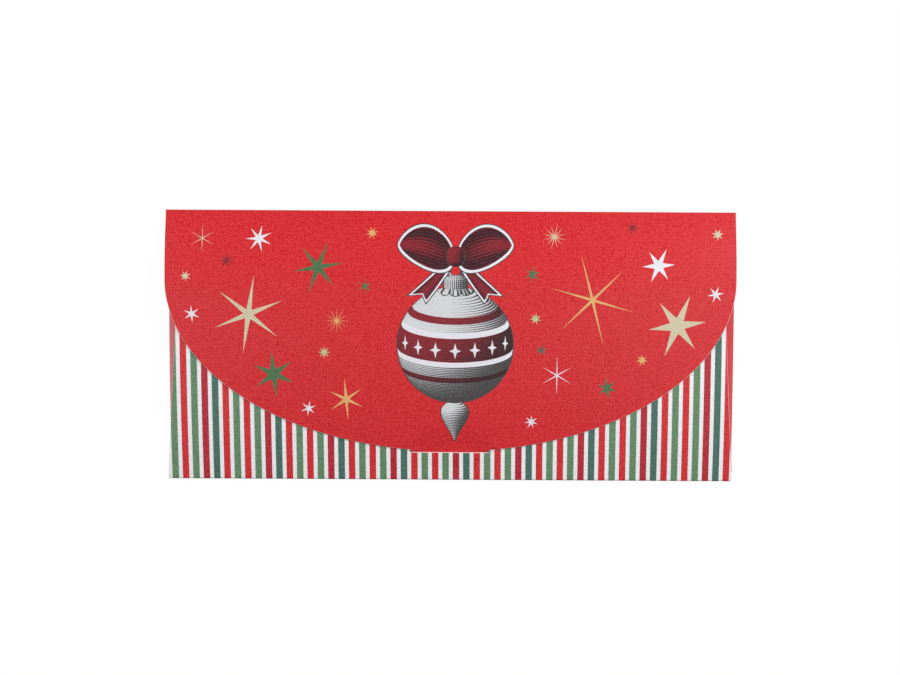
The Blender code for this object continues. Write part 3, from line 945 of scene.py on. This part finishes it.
def cap_skirt():
    """The cap's flared foot: a ring round the ball's top whose lower edge hangs in scallops."""
    across = spread(1, -1, 120)[None, :]
    down = spread(0, 1, 10)[:, None]
    turn = np.arcsin(across)
    scallop = np.abs(np.cos(SCALLOPS * turn))
    depth = SKIRT_DEPTH + SCALLOP_DEPTH * scallop
    x = (CAP_HALF + SKIRT_FLARE * down) * across
    y = BALL_HIGH - SKIRT_OVERLAP - depth * down - SKIRT_SAG * np.cos(turn)
    side_light = np.clip(SKIRT_MIDDLE_LIGHT - SKIRT_LIGHT_FALL * across, 0, 1)
    marks = {
        "tone": SKIRT_DARK + SKIRT_LIGHT * scallop * side_light,
        "line": SKIRT_LINES * turn / np.pi,
        "cross": y / HATCH_PITCH,
        "edge": np.minimum(depth * (1 - down), CAP_HALF * (1 - np.abs(across))) / MM,
        "border": 0.0,
    }
    return BAUBLE_X + x, y, 4 * INK_RISE, marks


def hanging_ring():
    """A wire ring between cap and bow, drawn as a flat ring that is lit on its left."""
    turn = np.radians(spread(0, 360, 48))[None, :]
    share = spread(-1, 1, 6)[:, None]
    reach = WIRE_RADIUS + WIRE_HALF * share
    x = -reach * np.cos(turn)
    y = BALL_HIGH + CAP_HEIGHT + WIRE_RISE + reach * np.sin(turn)
    marks = {
        "tone": WIRE_TONE + WIRE_LIGHT * np.cos(turn),
        "line": np.abs(turn - np.pi) * WIRE_RADIUS / HATCH_PITCH,
        "cross": share,
        "edge": WIRE_HALF / MM * (1 - np.abs(share)),
        "border": 0.0,
    }
    return BAUBLE_X + x, y, 2 * INK_RISE, marks


grey_engraving = hatched("grey engraving", INK_GREY, PAPER_GREY)
engraved("bauble_print", [
    turned_form(drop_half, BALL_LOW - DROP_REACH, BALL_LOW + DROP_OVERLAP, INK_RISE, 40),
    turned_form(ball_half, BALL_LOW + BALL_END, BALL_HIGH - BALL_END, 2 * INK_RISE, 90),
    hanging_ring(),
    turned_form(
        cap_half, BALL_HIGH - CAP_OVERLAP, BALL_HIGH + CAP_HEIGHT, 3 * INK_RISE, 24,
        ridged=True, shade=CAP_SHADE,
    ),
    cap_skirt(),
], grey_engraving)

# Belt: a broad maroon band round the ball between two white hems, with a row of small white stars,
# and a narrow maroon band above and below it. All are films of ink over the ball's.
BELT_RISE = 3.2 * MM
BELT_HALF = 4.4 * MM
HEM_HALF = 0.8 * MM
HEM_BORDER = 20 * MM
UPPER_BAND_RISE, LOWER_BAND_RISE = 11.6 * MM, -6.4 * MM
BAND_HALF = 0.9 * MM
BAND_ROW = 0.25 * MM
BELT_STAR_REACH = 2.5 * MM
BELT_STAR_TURNS = range(-60, 61, 20)
BOW_RED = (0.25, 0.012, 0.024)
BOW_SHADE = (0.030, 0.006, 0.010)


def band(height, half_width, layer, border=0.0):
    """A band round the ball, whose ends lie at a height over the ball's middle."""
    low, high = BALL_Y + height - half_width, BALL_Y + height + half_width
    rows = max(4, round(half_width / BAND_ROW))
    return turned_form(ball_half, low, high, layer * INK_RISE, rows, HATCH_SAG, border)


red_engraving = hatched("maroon engraving", BOW_SHADE, BOW_RED)
engraved("belt_print", [
    band(BELT_RISE, BELT_HALF, 3), band(UPPER_BAND_RISE, BAND_HALF, 3),
    band(LOWER_BAND_RISE, BAND_HALF, 3),
    band(BELT_RISE - BELT_HALF, HEM_HALF, 4, HEM_BORDER),
    band(BELT_RISE + BELT_HALF, HEM_HALF, 4, HEM_BORDER),
], red_engraving)
belt_stars = []
star_half = ball_half(BALL_Y + BELT_RISE)
for degrees in BELT_STAR_TURNS:
    turn = math.radians(degrees)
    star_x = BAUBLE_X + math.sin(turn) * star_half
    star_y = BALL_Y + BELT_RISE - HATCH_SAG * math.cos(turn) * star_half
    belt_stars.append(star(
        star_x, star_y, BELT_STAR_REACH, degrees=90, rays=4, waist=0.3, shorter=0.25,
        rise=5 * INK_RISE, squeeze=math.cos(turn),
    ))
belt_white = linen_print("belt white", STAR_WHITE, strength=FILM_EMBOSS)
make_piece("belt_stars", belt_stars, [belt_white] * 3, "flap")

# Bow: a maroon ribbon with a white trim over the hanging ring, in two loops and two notched tails
# round a knot. They are films of ink, the tails lowest and the knot on top.
BOW_Y = 28.6 * MM
LOOP_ROOT = 1.0 * MM
LOOP_LENGTH = 17.6 * MM
LOOP_HALF = 7.6 * MM
LOOP_START, LOOP_END = 0.09, 0.9999
LOOP_SWELL, LOOP_FULLNESS = 0.85, 0.55
LOOP_LIFT = 3.8 * MM
LOOP_DROOP = 0.62
LOOP_TRIM = 1.15 * MM
LEAST_STEP = 1e-9
LOOP_FOLDS = 5.2
TAIL_DROP = 1.0 * MM
TAIL_ROOT = 1.2 * MM
TAIL_REACH = 11.3 * MM
TAIL_FALL = 13.0 * MM
TAIL_LENGTH = 16.0 * MM
TAIL_CURVE = 1.1
TAIL_HALF = 1.0 * MM
TAIL_WIDENING = 2.2 * MM
TAIL_SLANT = 1.3 * MM
TAIL_NOTCH = 0.14
TAIL_TRIM = 0.75 * MM
TAIL_FOLDS = 4.0
KNOT_HALF = 2.9 * MM
KNOT_REACH = 3.3 * MM
KNOT_END = 3.2 * MM
RIBBON_LINES = 7
FOLD_DARK = 0.22
KNOT_SHADE, SHADE_FADE = 0.15, 1.1


def ribbon(x, y, along, across, edge, border, layer, folds):
    """Marks of a ribbon: hatch lines run along it and deep folds start at the knot."""
    fold = 0.5 + 0.5 * np.cos(folds * across)
    marks = {
        "tone": FOLD_DARK + (1 - FOLD_DARK) * fold * smooth(KNOT_SHADE + SHADE_FADE * along),
        "line": across * RIBBON_LINES + 0.5,
        "cross": (x - y) / HATCH_PITCH,
        "edge": edge / MM,
        "border": border / MM,
    }
    return x, y, layer * INK_RISE, marks


def bow_loop(side):
    """A loop swells as a sine of its length from the knot, ends round and droops a little."""
    along = np.sin(np.radians(spread(0, 90, 56)))[:, None]
    across = -side * spread(-1, 1, 32)[None, :]
    swell = np.minimum(LOOP_START + (1 - LOOP_START) * along**LOOP_SWELL, LOOP_END)
    half = LOOP_HALF * np.sin(np.pi * swell) ** LOOP_FULLNESS
    run = LOOP_LENGTH * along
    apart = LEAST_STEP * np.arange(len(run))
    slope = np.gradient(half[:, 0], run[:, 0] + apart)[:, None]
    edge = half * (1 - np.abs(across)) / np.sqrt(1 + slope**2)
    x = BAUBLE_X + side * (LOOP_ROOT + run) + 0 * across
    y = BOW_Y + LOOP_LIFT * np.sin(np.pi * LOOP_DROOP * along) + across * half
    return ribbon(x, y, along, across, edge, LOOP_TRIM, 4, LOOP_FOLDS)


def bow_tail(side):
    """A tail hangs out from the knot, widens and ends in a notch."""
    across = spread(1, -1, 24)[None, :]
    share = spread(0, 1, 30)[:, None]
    along = share * (1 - TAIL_NOTCH + TAIL_NOTCH * np.abs(across))
    half = TAIL_HALF + TAIL_WIDENING * along
    x = BAUBLE_X + side * (TAIL_ROOT + TAIL_REACH * along**TAIL_CURVE) + across * half
    y = BOW_Y - TAIL_DROP - TAIL_FALL * along + side * across * TAIL_SLANT
    edge = np.minimum(half * (1 - np.abs(across)), TAIL_LENGTH * (1 - share))
    return ribbon(x, y, along, across, edge, TAIL_TRIM, 3, TAIL_FOLDS)


def knot_half(y):
    return KNOT_HALF * np.clip(1 - ((y - BOW_Y) / KNOT_REACH) ** 4, 0, 1) ** 0.5


knot = turned_form(knot_half, BOW_Y - KNOT_END, BOW_Y + KNOT_END, 5 * INK_RISE, 16)
engraved("bow_print", [bow_tail(-1), bow_tail(1), bow_loop(-1), bow_loop(1), knot], red_engraving)

# Studio: a pale floor under the card, which lies on its back, a soft lamp on either side and two
# weak ones above it, and a camera almost straight over it.
CAMERA_AIM = Vector((-0.05 * MM, 2.66 * MM, 0))
CAMERA_DISTANCE = 500 * MM
CAMERA_TILT = math.radians(2.3)
CAMERA_ROLL = math.radians(0.32)
CAMERA_LENS = 62.2
CAMERA_SENSOR = 36
FLOOR_SIZE = 4
FLOOR_GAP = 0.2 * MM
FLOOR_GREY = (0.5, 0.5, 0.5, 1)
FLOOR_ROUGHNESS = 0.9
FLOOR_GLOW = 0.92
GLOW_STRENGTH = 1.045
PURE_WHITE = (1, 1, 1, 1)
ROOM_LIGHT = 0.1
LAMP_SIZE = 0.3

bpy.ops.mesh.primitive_grid_add(size=FLOOR_SIZE, location=(0, 0, -FLOOR_GAP))
floor = bpy.context.object
floor.name = "floor"
paper, tree = new_tree("white ground")
shader = tree.nodes["Principled BSDF"]
shader.inputs["Base Color"].default_value = FLOOR_GREY
shader.inputs["Roughness"].default_value = FLOOR_ROUGHNESS
rays = tree.nodes.new("ShaderNodeLightPath").outputs
mirrored = calculate(tree, "MAXIMUM", rays["Is Glossy Ray"], rays["Is Transmission Ray"])
seen = calculate(tree, "MAXIMUM", rays["Is Camera Ray"], mirrored)
glow = add_node(tree, "ShaderNodeEmission", {"Color": PURE_WHITE, "Strength": GLOW_STRENGTH})
glowing = calculate(tree, "MULTIPLY", seen, FLOOR_GLOW)
mixed = {0: glowing, 1: shader.outputs[0], 2: glow.outputs[0]}
mixed = add_node(tree, "ShaderNodeMixShader", mixed)
tree.links.new(mixed.outputs[0], tree.nodes["Material Output"].inputs[0])
floor.data.materials.append(paper)

world = bpy.data.worlds.new("soft white room")
bpy.context.scene.world = world
world.use_nodes = True
tree = world.node_tree
rays = tree.nodes.new("ShaderNodeLightPath").outputs
strength = {"Value": rays["Is Camera Ray"], "To Min": ROOM_LIGHT, "To Max": 1.0}
strength = add_node(tree, "ShaderNodeMapRange", strength)
background = tree.nodes["Background"]
background.inputs["Color"].default_value = PURE_WHITE
tree.links.new(strength.outputs[0], background.inputs["Strength"])


def soft_light(name, place, power):
    """A square lamp that faces the card."""
    lamp = bpy.data.lights.new(name, "AREA")
    lamp.size = LAMP_SIZE
    lamp.energy = power
    holder = bpy.data.objects.new(name, lamp)
    holder.location = place
    holder.rotation_euler = (-Vector(place)).to_track_quat("-Z", "Y").to_euler()
    bpy.context.scene.collection.objects.link(holder)


soft_light("left light", (-0.49, 0.26, 0.42), 1.95)
soft_light("right light", (0.44, 0.27, 0.44), 3.0)
soft_light("upper left light", (-0.27, -0.07, 0.48), 0.44)
soft_light("upper right light", (0.23, -0.05, 0.5), 0.52)

lens = bpy.data.cameras.new("camera")
lens.lens = CAMERA_LENS
lens.sensor_width = CAMERA_SENSOR
camera = bpy.data.objects.new("camera", lens)
turned = Matrix.Rotation(-CAMERA_TILT, 4, "X") @ Matrix.Rotation(CAMERA_ROLL, 4, "Z")
backed = Matrix.Translation((0, 0, CAMERA_DISTANCE))
camera.matrix_world = Matrix.Translation(CAMERA_AIM) @ turned @ backed
bpy.context.scene.collection.objects.link(camera)
bpy.context.scene.camera = camera
bpy.context.scene.view_settings.view_transform = "Standard"
